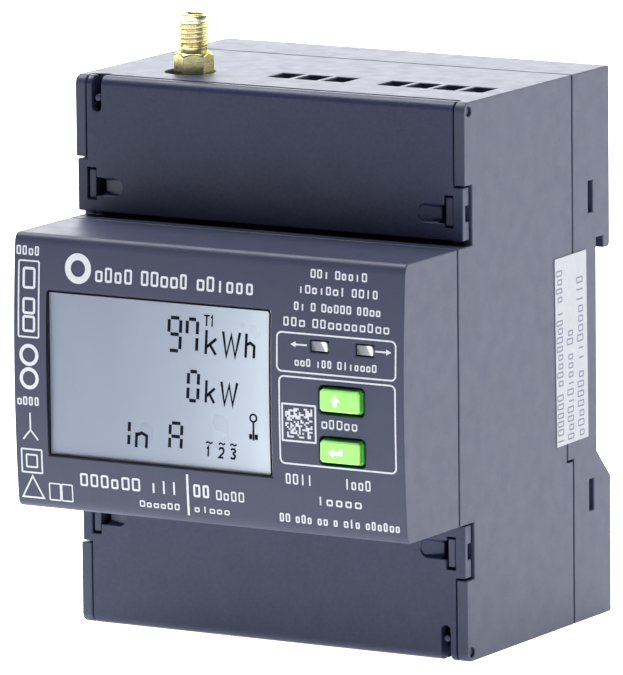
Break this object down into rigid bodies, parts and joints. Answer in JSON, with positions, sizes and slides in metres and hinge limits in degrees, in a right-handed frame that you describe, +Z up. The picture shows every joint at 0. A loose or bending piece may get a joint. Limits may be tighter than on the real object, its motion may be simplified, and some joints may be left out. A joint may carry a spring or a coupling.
{
  "type": "smart electric meter",
  "caption": "Four-module rail-mounted electricity meter with a display nose, two hinged terminal covers, two push buttons, a sprung rail latch and a coaxial antenna jack.",
  "frame": {"origin": "centre of the flat bottom face it stands on, below the middle of the whole box", "axes": "+Z up; +X to the right of a person facing the display; the display faces -Y and the rail recess faces +Y"},
  "size_m": [0.0722, 0.0684, 0.0995],
  "materials": {
    "housing_plastic": "fine-grained moulded dark blue-grey",
    "cover_plastic": "fine-grained moulded dark blue-grey, a little smoother than the housing",
    "block_plastic": "matt moulded dark grey",
    "black_plastic": "matt black",
    "white_plastic": "satin white",
    "label_film": "matt white printed film",
    "button_plastic": "satin lime green",
    "clear_plastic": "clear and polished",
    "lcd_glass": "backlit reflective liquid-crystal panel",
    "board_laminate": "green solder mask",
    "steel": "zinc-plated steel",
    "gold_plate": "polished gold plate on brass",
    "winding": "enamelled copper winding"
  },
  "bodies": {
    "housing": {"rear_base": "housing_plastic", "main_housing": "housing_plastic", "front_hood": "housing_plastic", "display_window": "clear_plastic", "rating_label": "label_film", "latch_spring": "steel", "lcd_panel": "lcd_glass", "lcd_backlight": "white_plastic", "display_carrier": "black_plastic", "display_board": "board_laminate", "up_switch": "black_plastic", "enter_switch": "black_plastic", "pulse_window_left": "clear_plastic", "pulse_window_right": "clear_plastic", "pulse_light_left": "white_plastic", "pulse_light_right": "white_plastic", "metering_board": "board_laminate", "riser_board": "board_laminate", "radio_board": "board_laminate", "radio_shield": "steel", "supply_transformer": "winding", "filter_capacitor": "black_plastic", "current_transformer_1": "winding", "current_transformer_2": "winding", "current_transformer_3": "winding", "signal_terminal_block_3_way": "block_plastic", "signal_terminal_block_4_way": "block_plastic", "mains_terminal_block": "block_plastic", "antenna_jack": "gold_plate", "antenna_insulator": "white_plastic", "antenna_contact": "gold_plate", "signal_terminal_screw_1": "steel", "signal_terminal_screw_2": "steel", "signal_terminal_screw_3": "steel", "signal_terminal_screw_4": "steel", "signal_terminal_screw_5": "steel", "signal_terminal_screw_6": "steel", "signal_terminal_screw_7": "steel", "mains_terminal_screw_1": "steel", "mains_terminal_screw_2": "steel", "mains_terminal_screw_3": "steel", "mains_terminal_screw_4": "steel", "mains_terminal_screw_5": "steel", "mains_terminal_screw_6": "steel", "mains_terminal_screw_7": "steel", "mains_terminal_screw_8": "steel", "mains_terminal_screw_9": "steel", "mains_terminal_screw_10": "steel"},
    "upper_cover": {"upper_terminal_cover": "cover_plastic"},
    "lower_cover": {"lower_terminal_cover": "cover_plastic"},
    "up_key": {"up_button": "button_plastic", "up_switch_plunger": "steel"},
    "enter_key": {"enter_button": "button_plastic", "enter_switch_plunger": "steel"},
    "latch": {"rail_latch": "block_plastic"}
  },
  "joints": [
    {"name": "upper_cover_hinge", "type": "hinge", "parent": "housing", "child": "upper_cover", "pos_m": [0, -0.01205, 0.0885], "axis": [-1, 0, 0], "range_deg": [0, 90]},
    {"name": "lower_cover_hinge", "type": "hinge", "parent": "housing", "child": "lower_cover", "pos_m": [0, -0.01205, 0.0015], "axis": [1, 0, 0], "range_deg": [0, 90]},
    {"name": "up_button_press", "type": "slide", "parent": "housing", "child": "up_key", "axis": [0, 1, 0], "range_m": [0, 0.0005], "stiffness_N_per_m": 1500, "springref_m": -0.0003},
    {"name": "enter_button_press", "type": "slide", "parent": "housing", "child": "enter_key", "axis": [0, 1, 0], "range_m": [0, 0.0005], "stiffness_N_per_m": 1500, "springref_m": -0.0003},
    {"name": "rail_latch_pull", "type": "slide", "parent": "housing", "child": "latch", "axis": [0, 0, -1], "range_m": [0, 0.0025], "stiffness_N_per_m": 600, "springref_m": -0.004, "deforming": ["latch_spring"]}
  ]
}
